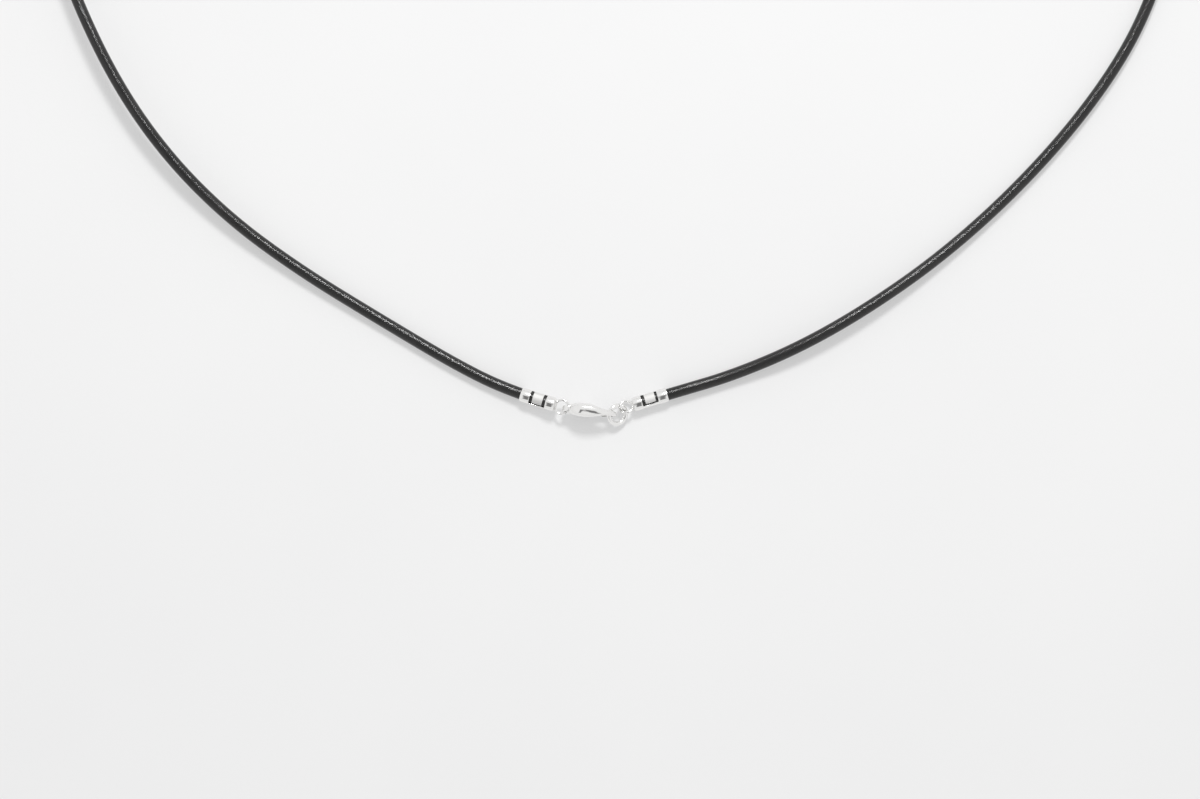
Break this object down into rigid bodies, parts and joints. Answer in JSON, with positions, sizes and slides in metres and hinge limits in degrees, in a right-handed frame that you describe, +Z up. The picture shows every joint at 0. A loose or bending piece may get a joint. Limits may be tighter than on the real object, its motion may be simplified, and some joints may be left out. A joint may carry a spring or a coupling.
{
  "type": "leather cord necklace",
  "caption": "Black round leather cord necklace, closed, with crimped silver end caps, a lobster clasp with a sprung lever and a jump ring.",
  "frame": {"origin": "on the surface that the necklace lies on, under the middle of the closed hardware", "axes": "+X along the closed hardware from the clasp towards the jump ring, +Y across the loop towards the middle of the cord, +Z up from the surface"},
  "size_m": [0.194, 0.1335, 0.0053],
  "materials": {
    "black_leather": "smooth, slightly waxed round leather",
    "polished_silver": "polished silver"
  },
  "bodies": {
    "necklace": {"leather_cord": "black_leather", "end_cap_left": "polished_silver", "end_cap_right": "polished_silver", "clasp_body": "polished_silver", "lever_pin": "polished_silver", "jump_ring": "polished_silver"},
    "lever": {"clasp_lever": "polished_silver"}
  },
  "joints": [
    {"name": "clasp_lever_hinge", "type": "hinge", "parent": "necklace", "child": "lever", "pos_m": [-0.00216, -0.00066, 0.00188], "axis": [-0.1126, -0.9881, 0.1045], "range_deg": [0, 28], "stiffness_Nm_per_rad": 0.005, "springref_deg": -20.05}
  ]
}
